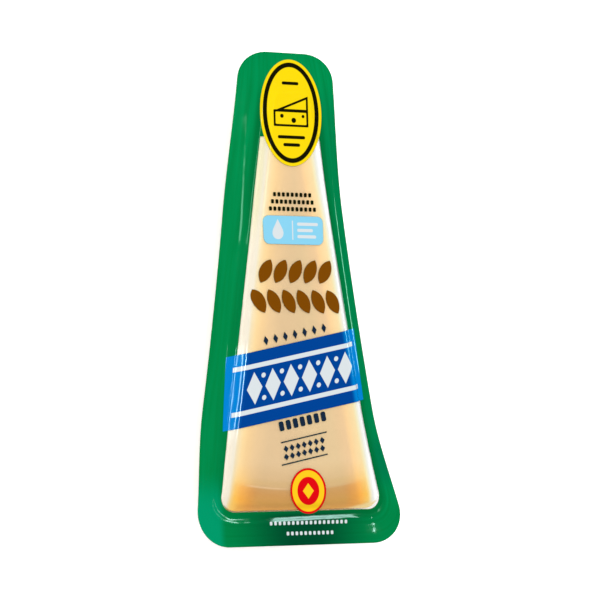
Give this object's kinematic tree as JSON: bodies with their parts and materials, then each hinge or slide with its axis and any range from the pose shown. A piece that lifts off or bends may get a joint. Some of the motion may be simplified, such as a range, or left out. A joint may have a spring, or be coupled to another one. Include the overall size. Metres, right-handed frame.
{
  "type": "vacuum packed hard cheese wedge",
  "caption": "Wedge of hard cheese sealed in a printed film pack, with a raised flat front, a thin welded rim all round and a formed pocket behind, lying on its back.",
  "frame": {"origin": "middle of the pack's length and width, on the plane of its flat back", "axes": "+Z out of the printed front, +Y towards the narrow tip, +X across the pack"},
  "size_m": [0.0962, 0.2054, 0.023],
  "materials": {
    "printed_film": "glossy green printed packaging film",
    "clear_film": "glossy clear packaging film",
    "cheese": "dense grainy hard cheese, amber towards the rind"
  },
  "bodies": {
    "root": {"sealed_cheese_pack": "printed_film"}
  },
  "joints": []
}
